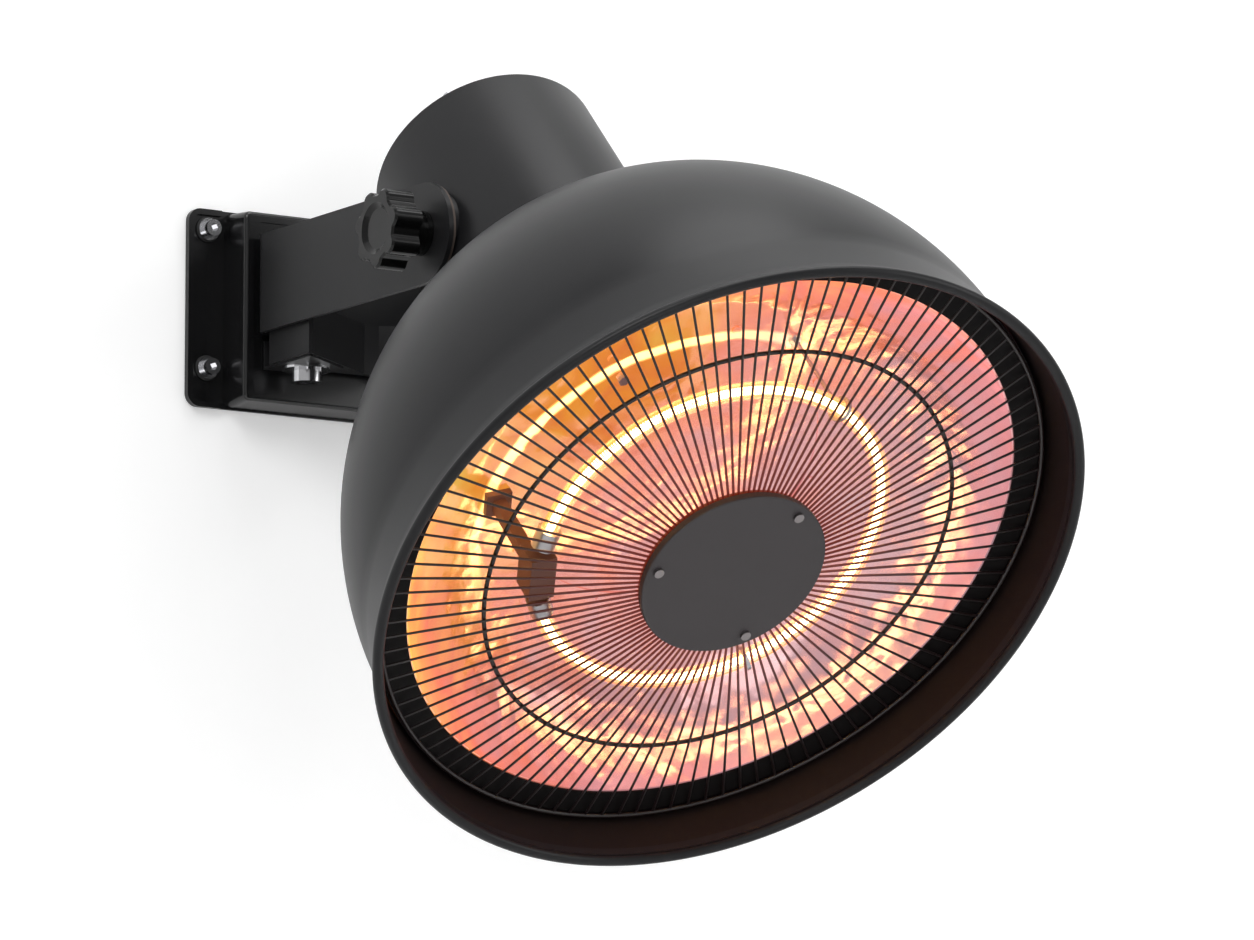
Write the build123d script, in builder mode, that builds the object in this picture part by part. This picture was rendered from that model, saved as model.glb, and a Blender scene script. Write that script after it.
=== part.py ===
from build123d import *
import os
from math import acos, atan2, cos, degrees, hypot, radians, sin, sqrt

# Wall-mounted halogen patio heater: a deep round shade on a yoke, tilted by two star knobs.
# Millimetres, +Z up. The wall is the plane Y = 0 and the heater reaches out towards -Y.
# The origin is the centre of the four wall bolts on the back of the wall plate.

# Wall plate, a pressed pan with two bolting flanges
plate_width = 215.0
plate_height = 120.0
plate_drop = 5.8          # the plate's middle lies this far below the bolt pattern
plate_sheet = 2.0
flange_corner = 8.0
flange_lip_depth = 2.0
flange_lip_width = 3.5
pan_width = 165.6
pan_height = 118.3
pan_depth = 25.4
pan_taper = 4.5
pan_corner = 6.0
pan_edge = 2.5
pan_recess_margin = 8.0
pan_recess_depth = 0.7
wall_bolt_spacing_x = 188.0
wall_bolt_spacing_z = 84.0
wall_bolt_radius = 3.0    # over the thread, behind the plate
wall_shank_radius = 2.7
wall_hole_radius = 3.5
wall_bolt_length = 40.0
wall_bolt_head_radius = 5.0
wall_bolt_head_height = 6.0
wall_washer_radius = 6.8
wall_washer_thickness = 1.6
wall_seal_radius = 7.6
wall_seal_thickness = 1.2

# Yoke, one folded strip with two round-ended arms
yoke_width = 150.6
yoke_sheet = 3.0
yoke_bend = 7.0
yoke_gap = 2.6            # spacer thickness between the pan and the yoke
arm_half_height = 29.6
pivot_reach = 219.0       # from the wall to the tilt axis
pivot_height = 6.4        # above the bolt pattern
yoke_bolt_spacing_x = 96.0
yoke_bolt_spacing_z = 34.0
yoke_bolt_radius = 3.0
yoke_bolt_head_radius = 5.5
yoke_bolt_head_height = 3.3
yoke_spacer_radius = 7.0

# Bracket block inside the yoke, a folded box with a notched front
block_width = 140.0
block_depth = 51.0
block_bottom = 42.3       # below the bolt pattern
block_height = 30.0
block_sheet = 2.5
block_notch_depth = 45.0
block_notch_floor = 10.0
block_corner = 4.5
block_horn = 3.0
foot_sheet = 1.5
foot_width = 41.0
foot_leg_height = 17.0
block_bolt_x = 51.0
block_bolt_reach = 47.0   # from the wall
block_bolt_radius = 6.0
block_bolt_head_radius = 9.2
block_bolt_head_height = 7.6
block_bolt_socket_radius = 4.6
block_washer_radius = 14.4
block_washer_thickness = 2.0
block_nut_across_flats = 18.0
block_nut_height = 10.0

# Head: its axis runs from the tilt axis down and forwards to the open rim
tilt_rest = 43.7          # degrees from straight down, as photographed
rim_distance = 300.0      # from the tilt axis to the rim, along the head's axis
rim_radius = 212.5        # over the rolled bead
bead_radius = 3.2
shade_sheet = 1.2
skirt_mid_radius = 204.6
skirt_depth = 42.0
crown_radius = 201.0      # half-width of the crown's ellipse
crown_height = 208.0      # its height behind the skirt
crown_steps = 8
crown_hole_radius = 60.0

neck_radius = 69.0
neck_sheet = 1.2
neck_top_back = 75.7      # the neck's top end, behind the tilt axis
neck_flange_width = 9.0
collar_height = 12.0
cap_sheet = 2.0
cap_clearance = 0.3
cap_screw_radius = 2.0
cap_screw_head = 3.4
gland_radius = 9.0
gland_bore = 4.5
gland_length = 13.0
gland_thread_radius = 7.5
terminal_length = 46.0
terminal_width = 22.0
terminal_height = 18.0

# Tilt pivots
pivot_clearance = 0.1
side_gap = 0.3
boss_radius = 25.0
friction_radius = 29.0
friction_thickness = 1.5
stud_radius = 4.0
stud_head_radius = 9.0
stud_head_height = 4.0
stud_end_gap = 3.0

# Star knobs
knob_radius = 23.5
knob_core_radius = 19.6
knob_lobe_radius = 6.2
knob_valley_fillet = 3.0
knob_lobes = 7
knob_depth = 18.0
knob_edge = 1.2
knob_hub_radius = 11.0
knob_hub_length = 10.0
knob_collar_radius = 13.0
knob_collar_thickness = 3.4
knob_dish_radius = 15.0
knob_dish_depth = 2.2
knob_dish_taper = 55.0
insert_radius = 7.0
insert_length = 22.0

# Reflector, frame ring, lamp and grille, measured back from the rim
frame_ring_back = 27.5
frame_ring_inner = 182.3
frame_ring_sheet = 1.2
frame_flange_height = 9.0
stud_count = 4
small_stud_radius = 1.5
small_stud_length = 8.0
small_nut_radius = 3.4
small_nut_height = 2.4
reflector_sheet = 0.8
reflector_floor_back = 96.0
reflector_floor_radius = 114.0
reflector_hole_radius = 92.0
floor_lap = 9.0
rivet_circle = 96.5
rivet_count = 8
rivet_head_radius = 2.6
rivet_head_height = 0.9
reflector_lip = 13.0
reflector_bulge = 9.0
lamp_ring_radius = 103.0
lamp_back = 33.0
lamp_tube_radius = 5.0
lamp_tube_wall = 1.0
lamp_gap_angle = 34.0
lamp_gap_centre = 200.0
filament_radius = 1.8
lamp_cap_radius = 6.8
lamp_cap_length = 12.0
holder_width = 15.0
holder_height = 14.0
holder_wall = 4.0
lamp_clip_wire = 1.2
lamp_clip_angles = (307.0, 67.0)
shield_radius = 150.0
shield_sheet = 1.0
shield_back = 122.0
shield_lip = 14.0
standoff_circle = 78.0
standoff_radius = 4.0

grille_ring_radius = 198.1
grille_ring_wire = 1.3
grille_mid_radius = 140.2
grille_mid_wire = 1.3
grille_wire = 0.75
grille_wire_count = 114
grille_start_radius = 51.4
grille_start_back = 4.1
grille_end_back = 25.9
weld_overlap = 0.15
weld_gap = 0.05
hub_radius = 54.4
hub_sheet = 1.5
disc_radius = 55.1
disc_front = 0.7          # the disc's face stands this far in front of the rim
disc_sheet = 1.2
disc_corner = 1.0
disc_screw_circle = 48.5
disc_screw_turn = 63.5
disc_screw_radius = 2.0
disc_screw_head = 2.9
disc_screw_head_height = 1.6

os.makedirs("parts", exist_ok=True)


def save(builder, name):
    # Label one finished sub-part and write it.
    builder.part.label = name
    export_step(builder.part, "parts/" + name + ".step")


# Directions and planes that the head's pieces share
tilt_sin = sin(radians(tilt_rest))
tilt_cos = cos(radians(tilt_rest))
pivot = Vector(0, -pivot_reach, pivot_height)
head_out = Vector(0, -tilt_sin, -tilt_cos)
head_axis = Axis(pivot, head_out)
head_profile = Plane(origin=pivot, x_dir=(1, 0, 0), z_dir=(0, tilt_cos, -tilt_sin))


def head_plane(along):
    # A plane square to the head's axis, facing the opening.
    return Plane(origin=pivot + head_out * along, x_dir=(1, 0, 0), z_dir=head_out)


def back(distance):
    # Distance behind the rim, as a distance along the head's axis from the pivot.
    return rim_distance - distance


def wall_plane(y):
    # A plane parallel to the wall that faces forwards, with its local Y along +Z.
    return Plane(origin=(0, y, 0), x_dir=(1, 0, 0), z_dir=(0, -1, 0))


# Wall plate
pan_face = -pan_depth
with BuildPart() as pan_void:
    with BuildSketch(wall_plane(plate_sheet)):
        with Locations((0, -plate_drop)):
            RectangleRounded(pan_width - 2 * plate_sheet, pan_height - 2 * plate_sheet, pan_corner - plate_sheet)
    extrude(amount=pan_depth, taper=pan_taper)
with BuildPart() as wall_plate:
    with BuildSketch(wall_plane(0)):
        with Locations((0, -plate_drop)):
            RectangleRounded(plate_width, plate_height, flange_corner)
    extrude(amount=plate_sheet)
    with BuildSketch(wall_plane(0)):
        with Locations((0, -plate_drop)):
            RectangleRounded(pan_width, pan_height, pan_corner)
    extrude(amount=pan_depth, taper=pan_taper)
    fillet(wall_plate.faces().sort_by(Axis.Y)[0].edges(), radius=pan_edge)
    with BuildSketch(wall_plane(-plate_sheet)):
        with Locations((0, -plate_drop)):
            RectangleRounded(plate_width, plate_height, flange_corner)
            RectangleRounded(plate_width - 2 * flange_lip_width, plate_height - 2 * flange_lip_width,
                             flange_corner - flange_lip_width, mode=Mode.SUBTRACT)
            Rectangle(pan_width + 2 * plate_sheet, plate_height, mode=Mode.SUBTRACT)
    extrude(amount=flange_lip_depth)
    add(pan_void.part, mode=Mode.SUBTRACT)
    with BuildSketch(wall_plane(pan_face)):
        with Locations((0, -plate_drop)):
            RectangleRounded(pan_width - 2 * pan_recess_margin, pan_height - 2 * pan_recess_margin, pan_corner)
    extrude(amount=-pan_recess_depth, mode=Mode.SUBTRACT)
    with BuildSketch(wall_plane(0)):
        with GridLocations(wall_bolt_spacing_x, wall_bolt_spacing_z, 2, 2):
            Circle(wall_hole_radius)
    extrude(amount=plate_sheet, mode=Mode.SUBTRACT)
    with BuildSketch(wall_plane(pan_face)):
        with Locations((0, pivot_height)):
            with GridLocations(yoke_bolt_spacing_x, yoke_bolt_spacing_z, 2, 2):
                Circle(yoke_bolt_radius + pivot_clearance)
    extrude(amount=-2 * plate_sheet, mode=Mode.SUBTRACT)
save(wall_plate, "wall_plate")

# Wall bolts, their washers and the rubber seals under them
seal_front = -plate_sheet - wall_seal_thickness
washer_front = seal_front - wall_washer_thickness
with BuildPart() as wall_seals:
    with BuildSketch(wall_plane(-plate_sheet)):
        with GridLocations(wall_bolt_spacing_x, wall_bolt_spacing_z, 2, 2):
            Circle(wall_seal_radius)
            Circle(wall_bolt_radius + pivot_clearance, mode=Mode.SUBTRACT)
    extrude(amount=wall_seal_thickness)
save(wall_seals, "wall_seals")

with BuildPart() as wall_washers:
    with BuildSketch(wall_plane(seal_front)):
        with GridLocations(wall_bolt_spacing_x, wall_bolt_spacing_z, 2, 2):
            Circle(wall_washer_radius)
            Circle(wall_bolt_radius + pivot_clearance, mode=Mode.SUBTRACT)
    extrude(amount=wall_washer_thickness)
save(wall_washers, "wall_washers")

with BuildPart() as wall_bolts:
    with BuildSketch(wall_plane(washer_front)):
        with GridLocations(wall_bolt_spacing_x, wall_bolt_spacing_z, 2, 2):
            Circle(wall_bolt_head_radius)
    extrude(amount=wall_bolt_head_height)
    with BuildSketch(wall_plane(washer_front)):
        with GridLocations(wall_bolt_spacing_x, wall_bolt_spacing_z, 2, 2):
            Circle(wall_shank_radius)
    extrude(amount=washer_front)
    with BuildSketch(wall_plane(0)):
        with GridLocations(wall_bolt_spacing_x, wall_bolt_spacing_z, 2, 2):
            Circle(wall_bolt_radius)
    extrude(amount=-wall_bolt_length - washer_front)
    with BuildSketch(wall_plane(washer_front - wall_bolt_head_height)):
        with GridLocations(wall_bolt_spacing_x, wall_bolt_spacing_z, 2, 2):
            RegularPolygon(wall_bolt_head_radius * 0.5, 6)
    extrude(amount=-wall_bolt_head_height / 2, mode=Mode.SUBTRACT)
save(wall_bolts, "wall_bolts")

# Yoke: a plan outline folded round three sides, with its arm ends rounded
yoke_back = pan_face - yoke_gap
yoke_half = yoke_width / 2
with BuildPart() as yoke:
    with BuildSketch(Plane.XY.offset(pivot_height - arm_half_height)):
        with BuildLine():
            outline = FilletPolyline((-yoke_half, -pivot_reach - arm_half_height), (-yoke_half, yoke_back),
                                     (yoke_half, yoke_back), (yoke_half, -pivot_reach - arm_half_height),
                                     radius=yoke_bend)
            offset(outline, amount=-yoke_sheet, side=Side.BOTH, mode=Mode.PRIVATE)
            inner = FilletPolyline((-yoke_half + yoke_sheet, -pivot_reach - arm_half_height),
                                   (-yoke_half + yoke_sheet, yoke_back - yoke_sheet),
                                   (yoke_half - yoke_sheet, yoke_back - yoke_sheet),
                                   (yoke_half - yoke_sheet, -pivot_reach - arm_half_height),
                                   radius=yoke_bend - yoke_sheet)
            Line(outline @ 0, inner @ 0)
            Line(outline @ 1, inner @ 1)
        make_face()
    extrude(amount=2 * arm_half_height)
    with BuildSketch(Plane.YZ):
        with Locations((-pivot_reach - arm_half_height / 2, pivot_height)):
            Rectangle(arm_half_height, 2 * arm_half_height)
        with Locations((-pivot_reach, pivot_height)):
            Circle(arm_half_height, mode=Mode.SUBTRACT)
    extrude(amount=yoke_width, both=True, mode=Mode.SUBTRACT)
    with BuildSketch(Plane.YZ):
        with Locations((-pivot_reach, pivot_height)):
            Circle(stud_radius + pivot_clearance)
    extrude(amount=yoke_width, both=True, mode=Mode.SUBTRACT)
    with BuildSketch(wall_plane(yoke_back)):
        with Locations((0, pivot_height)):
            with GridLocations(yoke_bolt_spacing_x, yoke_bolt_spacing_z, 2, 2):
                Circle(yoke_bolt_radius + pivot_clearance)
    extrude(amount=yoke_sheet, mode=Mode.SUBTRACT)
save(yoke, "yoke")

# Spacers between the pan and the yoke, and the bolts and nuts through both
with BuildPart() as yoke_spacers:
    with BuildSketch(wall_plane(pan_face + pan_recess_depth)):
        with Locations((0, pivot_height)):
            with GridLocations(yoke_bolt_spacing_x, yoke_bolt_spacing_z, 2, 2):
                Circle(yoke_spacer_radius)
                Circle(yoke_bolt_radius + pivot_clearance, mode=Mode.SUBTRACT)
    extrude(amount=yoke_gap + pan_recess_depth)
save(yoke_spacers, "yoke_spacers")

web_front = yoke_back - yoke_sheet
pan_inside = plate_sheet - pan_depth
nut_length = 5.0
with BuildPart() as yoke_bolts:
    with BuildSketch(wall_plane(web_front)):
        with Locations((0, pivot_height)):
            with GridLocations(yoke_bolt_spacing_x, yoke_bolt_spacing_z, 2, 2):
                Circle(yoke_bolt_head_radius)
    extrude(amount=yoke_bolt_head_height)
    with BuildSketch(wall_plane(web_front)):
        with Locations((0, pivot_height)):
            with GridLocations(yoke_bolt_spacing_x, yoke_bolt_spacing_z, 2, 2):
                Circle(yoke_bolt_radius)
    extrude(amount=-(pan_inside - web_front) - nut_length - 1)
save(yoke_bolts, "yoke_bolts")

with BuildPart() as yoke_nuts:
    with BuildSketch(wall_plane(pan_inside)):
        with Locations((0, pivot_height)):
            with GridLocations(yoke_bolt_spacing_x, yoke_bolt_spacing_z, 2, 2):
                RegularPolygon(yoke_bolt_head_radius, 6)
                Circle(yoke_bolt_radius + pivot_clearance, mode=Mode.SUBTRACT)
    extrude(amount=-nut_length)
save(yoke_nuts, "yoke_nuts")

# Bracket block: an open-topped folded box whose front is notched back towards the wall
block_back = web_front
block_front = block_back - block_depth
block_half = block_width / 2
notch_back = block_front + block_notch_depth


block_corners = [(-block_half + block_corner, block_back), (-block_half, block_back - block_corner),
                 (-block_half, block_front), (-block_half + block_horn, block_front),
                 (-block_notch_floor / 2, notch_back), (block_notch_floor / 2, notch_back),
                 (block_half - block_horn, block_front), (block_half, block_front),
                 (block_half, block_back - block_corner), (block_half - block_corner, block_back)]
with BuildPart() as pivot_block:
    with BuildSketch(Plane.XY.offset(-block_bottom)):
        with BuildLine():
            Polyline(*block_corners, close=True)
        make_face()
    extrude(amount=block_height)
    with BuildSketch(Plane.XY.offset(block_sheet - block_bottom)):
        with BuildLine():
            Polyline(*block_corners, close=True)
        make_face()
        offset(amount=-block_sheet, kind=Kind.INTERSECTION, mode=Mode.REPLACE)
    extrude(amount=block_height, mode=Mode.SUBTRACT)
    with BuildSketch(Plane.XY.offset(-block_bottom)):
        with Locations((-block_bolt_x, -block_bolt_reach), (block_bolt_x, -block_bolt_reach)):
            Circle(block_bolt_radius + pivot_clearance)
    extrude(amount=block_sheet, mode=Mode.SUBTRACT)
    with BuildSketch(wall_plane(block_back)):
        with Locations((0, pivot_height)):
            with GridLocations(yoke_bolt_spacing_x, yoke_bolt_spacing_z, 2, 2):
                Circle(yoke_bolt_head_radius + side_gap)
    extrude(amount=block_sheet, mode=Mode.SUBTRACT)
save(pivot_block, "pivot_block")

# Feet: an angle under each side of the block, whose leg stands against the pan
foot_inner = block_half - foot_width
foot_top = -block_bottom
slope_run = (block_notch_depth) / (block_half - block_horn - block_notch_floor / 2)
foot_front_inner = notch_back - slope_run * (foot_inner - block_notch_floor / 2) + 1.5
with BuildPart() as support_feet:
    with BuildSketch(Plane.XY.offset(foot_top - foot_sheet)):
        for side in (-1, 1):
            with BuildLine():
                Polyline((side * foot_inner, pan_face), (side * foot_inner, foot_front_inner),
                         (side * (block_half - block_horn - 1), block_front + 2),
                         (side * (block_half - 2), block_front + 2), (side * (block_half - 2), pan_face), close=True)
            make_face()
    extrude(amount=foot_sheet)
    with BuildSketch(wall_plane(pan_face)):
        with Locations((-(block_half - 2 + foot_inner) / 2, foot_top + foot_leg_height / 2 - foot_sheet),
                       ((block_half - 2 + foot_inner) / 2, foot_top + foot_leg_height / 2 - foot_sheet)):
            Rectangle(foot_width - 2, foot_leg_height)
    extrude(amount=foot_sheet)
    with BuildSketch(Plane.XY.offset(foot_top - foot_sheet)):
        with Locations((-block_bolt_x, -block_bolt_reach), (block_bolt_x, -block_bolt_reach)):
            Circle(block_bolt_radius + pivot_clearance)
    extrude(amount=foot_sheet, mode=Mode.SUBTRACT)
save(support_feet, "support_feet")

bolt_seat = foot_top - foot_sheet - block_washer_thickness
with BuildPart() as block_washers:
    with BuildSketch(Plane.XY.offset(bolt_seat)):
        with Locations((-block_bolt_x, -block_bolt_reach), (block_bolt_x, -block_bolt_reach)):
            Circle(block_washer_radius)
            Circle(block_bolt_radius + pivot_clearance, mode=Mode.SUBTRACT)
    extrude(amount=block_washer_thickness)
save(block_washers, "block_washers")

nut_floor = foot_top + block_sheet
with BuildPart() as block_bolts:
    with BuildSketch(Plane.XY.offset(bolt_seat)):
        with Locations((-block_bolt_x, -block_bolt_reach), (block_bolt_x, -block_bolt_reach)):
            Circle(block_bolt_radius)
    extrude(amount=nut_floor + block_nut_height + 2 - bolt_seat)
    with BuildSketch(Plane.XY.offset(bolt_seat - block_bolt_head_height)):
        with Locations((-block_bolt_x, -block_bolt_reach), (block_bolt_x, -block_bolt_reach)):
            Circle(block_bolt_head_radius)
    extrude(amount=block_bolt_head_height)
    with BuildSketch(Plane.XY.offset(bolt_seat - block_bolt_head_height)):
        with Locations((-block_bolt_x, -block_bolt_reach), (block_bolt_x, -block_bolt_reach)):
            RegularPolygon(block_bolt_socket_radius, 6)
    extrude(amount=block_bolt_head_height * 0.6, mode=Mode.SUBTRACT)
save(block_bolts, "block_bolts")

with BuildPart() as block_nuts:
    with BuildSketch(Plane.XY.offset(nut_floor)):
        with Locations((-block_bolt_x, -block_bolt_reach), (block_bolt_x, -block_bolt_reach)):
            RegularPolygon(block_nut_across_flats / 2, 6, major_radius=False)
            Circle(block_bolt_radius + pivot_clearance, mode=Mode.SUBTRACT)
    extrude(amount=block_nut_height)
save(block_nuts, "block_nuts")

# Shade: a flared skirt and an elliptical crown in one spun sheet, with a rolled bead at the rim
bead_centre = rim_radius - bead_radius
crown_base = back(skirt_depth)


def crown_angle(radius, inset):
    # The ellipse's parameter, in degrees, where the crown passes a given radius.
    return degrees(acos(radius / (crown_radius - inset)))


def crown_along(radius, inset):
    # How far along the head's axis the crown lies at a given radius.
    return crown_base - (crown_height - inset) * sin(radians(crown_angle(radius, inset)))


def crown_points(inset):
    # Points down the crown's ellipse, from its base to the hole for the neck.
    points = []
    for step in range(crown_steps + 1):
        turn = radians(crown_angle(crown_hole_radius, inset)) * step / crown_steps
        points.append(((crown_radius - inset) * cos(turn), crown_base - (crown_height - inset) * sin(turn)))
    return points


def crown_tangent(inset):
    # The way the crown's sheet runs where it meets the hole.
    turn = radians(crown_angle(crown_hole_radius, inset))
    return (-(crown_radius - inset) * sin(turn), -(crown_height - inset) * cos(turn))


with BuildPart() as shade:
    with BuildSketch(head_profile):
        with BuildLine():
            skirt_out = ThreePointArc((bead_centre, back(0)), (skirt_mid_radius, back(skirt_depth / 2)),
                                      (crown_radius, crown_base))
            Spline(*crown_points(0), tangents=((0, -1), crown_tangent(0)))
            Line((crown_hole_radius, crown_along(crown_hole_radius, 0)),
                 (crown_hole_radius, crown_along(crown_hole_radius, shade_sheet)))
            Spline(*crown_points(shade_sheet), tangents=((0, -1), crown_tangent(shade_sheet)))
            ThreePointArc((crown_radius - shade_sheet, crown_base),
                          (skirt_mid_radius - shade_sheet, back(skirt_depth / 2)),
                          (bead_centre - shade_sheet, back(0)))
            Line((bead_centre - shade_sheet, back(0)), (bead_centre, back(0)))
        make_face()
        with Locations((bead_centre, back(0))):
            Circle(bead_radius)
    revolve(axis=head_axis)
save(shade, "shade")

# Neck: a plain tube whose foot stands on the crown, with a flange turned in at its top
neck_bore = neck_radius - neck_sheet
neck_top = -neck_top_back
neck_foot = crown_along(neck_bore, 0) - weld_overlap
flange_bore = neck_radius - neck_flange_width
with BuildPart() as neck_housing:
    with BuildSketch(head_profile):
        with BuildLine():
            Polyline((flange_bore, neck_top), (neck_radius, neck_top), (neck_radius, neck_foot),
                     (neck_bore, neck_foot), (neck_bore, neck_top + neck_sheet),
                     (flange_bore, neck_top + neck_sheet), close=True)
        make_face()
    revolve(axis=head_axis)
    with BuildSketch(Plane.YZ):
        with Locations((-pivot_reach, pivot_height)):
            Circle(stud_radius + pivot_clearance)
    extrude(amount=2 * neck_radius, both=True, mode=Mode.SUBTRACT)
    with BuildSketch(head_plane(neck_top)):
        with PolarLocations(neck_radius - neck_flange_width / 2, 4, start_angle=45):
            Circle(cap_screw_radius + pivot_clearance)
    extrude(amount=neck_sheet, mode=Mode.SUBTRACT)
save(neck_housing, "neck_housing")

# Neck collar: a spigot through the crown's hole, flanged inside the neck and inside the crown
collar_radius = crown_hole_radius - cap_clearance
collar_top = crown_along(crown_hole_radius, 0) - collar_height / 2
collar_foot = crown_along(collar_radius, shade_sheet) + weld_gap
with BuildPart() as neck_collar:
    with BuildSketch(head_profile):
        with BuildLine():
            Polyline((collar_radius - neck_sheet, collar_top), (neck_bore - cap_clearance, collar_top),
                     (neck_bore - cap_clearance, collar_top + neck_sheet), (collar_radius, collar_top + neck_sheet),
                     (collar_radius, collar_foot + collar_height / 2),
                     (collar_radius - neck_sheet, collar_foot + collar_height / 2), close=True)
        make_face()
    revolve(axis=head_axis)
    with BuildSketch(head_plane(collar_top)):
        with PolarLocations((collar_radius + neck_bore) / 2, stud_count):
            Circle(small_stud_radius + pivot_clearance)
    extrude(amount=neck_sheet, mode=Mode.SUBTRACT)
save(neck_collar, "neck_collar")

with BuildPart() as collar_screws:
    with BuildSketch(head_plane(collar_top)):
        with PolarLocations((collar_radius + neck_bore) / 2, stud_count):
            Circle(small_stud_radius * 1.8)
    extrude(amount=-small_nut_height)
    with BuildSketch(head_plane(collar_top)):
        with PolarLocations((collar_radius + neck_bore) / 2, stud_count):
            Circle(small_stud_radius)
    extrude(amount=crown_along((collar_radius + neck_bore) / 2, 0) - collar_top - 0.6)
save(collar_screws, "collar_screws")

# Neck cap: a flat disc that closes the top, seated behind the turned flange
cap_seat = neck_top + neck_sheet
with BuildPart() as neck_cap:
    with BuildSketch(head_plane(cap_seat)):
        Circle(neck_bore - cap_clearance)
        Circle(gland_thread_radius + pivot_clearance, mode=Mode.SUBTRACT)
        with PolarLocations(neck_radius - neck_flange_width / 2, 4, start_angle=45):
            Circle(cap_screw_radius + pivot_clearance, mode=Mode.SUBTRACT)
    extrude(amount=cap_sheet)
save(neck_cap, "neck_cap")

with BuildPart() as cap_screws:
    with BuildSketch(head_plane(neck_top)):
        with PolarLocations(neck_radius - neck_flange_width / 2, 4, start_angle=45):
            Circle(cap_screw_head)
    extrude(amount=-cap_sheet)
    with BuildSketch(head_plane(neck_top)):
        with PolarLocations(neck_radius - neck_flange_width / 2, 4, start_angle=45):
            Circle(cap_screw_radius)
    extrude(amount=neck_sheet + cap_sheet + 3)
save(cap_screws, "cap_screws")

# Cable gland in the cap, with its lock nut inside
with BuildPart() as cable_gland:
    with BuildSketch(head_plane(cap_seat)):
        RegularPolygon(gland_radius + 1, 6)
    extrude(amount=-gland_length * 0.4)
    with BuildSketch(head_plane(cap_seat - gland_length * 0.4)):
        Circle(gland_radius - 1)
    extrude(amount=-gland_length * 0.6, taper=8)
    with BuildSketch(head_plane(cap_seat)):
        Circle(gland_thread_radius)
    extrude(amount=cap_sheet + 6)
    with BuildSketch(head_plane(cap_seat - gland_length)):
        Circle(gland_bore)
    extrude(amount=gland_length + cap_sheet + 6, mode=Mode.SUBTRACT)
save(cable_gland, "cable_gland")

with BuildPart() as gland_nut:
    with BuildSketch(head_plane(cap_seat + cap_sheet)):
        RegularPolygon(gland_radius + 2, 6)
        Circle(gland_thread_radius + pivot_clearance, mode=Mode.SUBTRACT)
    extrude(amount=4)
save(gland_nut, "gland_nut")

# Terminal block on the cap's inner face
terminal_seat = cap_seat + cap_sheet + weld_gap
terminal_offset = gland_radius + 4 + terminal_width / 2
with BuildPart() as terminal_block:
    with BuildSketch(head_plane(terminal_seat)):
        with Locations((0, terminal_offset)):
            Rectangle(terminal_length, terminal_width)
    extrude(amount=terminal_height)
    with BuildSketch(head_plane(terminal_seat + terminal_height)):
        with Locations((0, terminal_offset)):
            with GridLocations(terminal_length / 3, terminal_width / 2, 3, 2):
                Circle(2.2)
    extrude(amount=-terminal_height / 3, mode=Mode.SUBTRACT)
save(terminal_block, "terminal_block")

# Tilt bosses and friction discs: what the neck turns against the arms on
arm_inner = yoke_half - yoke_sheet
friction_face = arm_inner - side_gap
boss_face = friction_face - friction_thickness
with BuildPart() as neck_envelope:
    with BuildSketch(head_plane(-friction_radius * 2)):
        Circle(neck_radius + weld_gap)
    extrude(amount=friction_radius * 4)
with BuildPart() as tilt_bosses:
    with BuildSketch(Plane.YZ):
        with Locations((-pivot_reach, pivot_height)):
            Circle(boss_radius)
            Circle(stud_radius + pivot_clearance, mode=Mode.SUBTRACT)
    extrude(amount=boss_face, both=True)
    add(neck_envelope.part, mode=Mode.SUBTRACT)
save(tilt_bosses, "tilt_bosses")

with BuildPart() as friction_discs:
    for side in (-1, 1):
        with BuildSketch(Plane.YZ.offset(side * boss_face)):
            with Locations((-pivot_reach, pivot_height)):
                Circle(friction_radius)
                Circle(stud_radius + pivot_clearance, mode=Mode.SUBTRACT)
        extrude(amount=side * friction_thickness)
save(friction_discs, "friction_discs")

# Studs: a head inside the neck and a thread that runs out through boss, disc, arm and knob
arm_outer = yoke_half
collar_start = arm_outer + side_gap
hub_start = collar_start + knob_collar_thickness
lobe_start = hub_start + knob_hub_length
knob_face = lobe_start + knob_depth
stud_seat = sqrt(neck_bore ** 2 - stud_head_radius ** 2) - weld_gap
stud_end = collar_start + insert_length - stud_end_gap
with BuildPart() as tilt_studs:
    for side in (-1, 1):
        with BuildSketch(Plane.YZ.offset(side * (stud_seat - stud_head_height))):
            with Locations((-pivot_reach, pivot_height)):
                Circle(stud_head_radius)
        extrude(amount=side * stud_head_height)
        with BuildSketch(Plane.YZ.offset(side * stud_seat)):
            with Locations((-pivot_reach, pivot_height)):
                Circle(stud_radius)
        extrude(amount=side * (stud_end - stud_seat))
save(tilt_studs, "tilt_studs")


def knob_plane(side, along):
    # A plane square to the tilt axis that faces outwards on the given side.
    return Plane(origin=(side * along, -pivot_reach, pivot_height), x_dir=(0, 1, 0), z_dir=(side, 0, 0))


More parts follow.
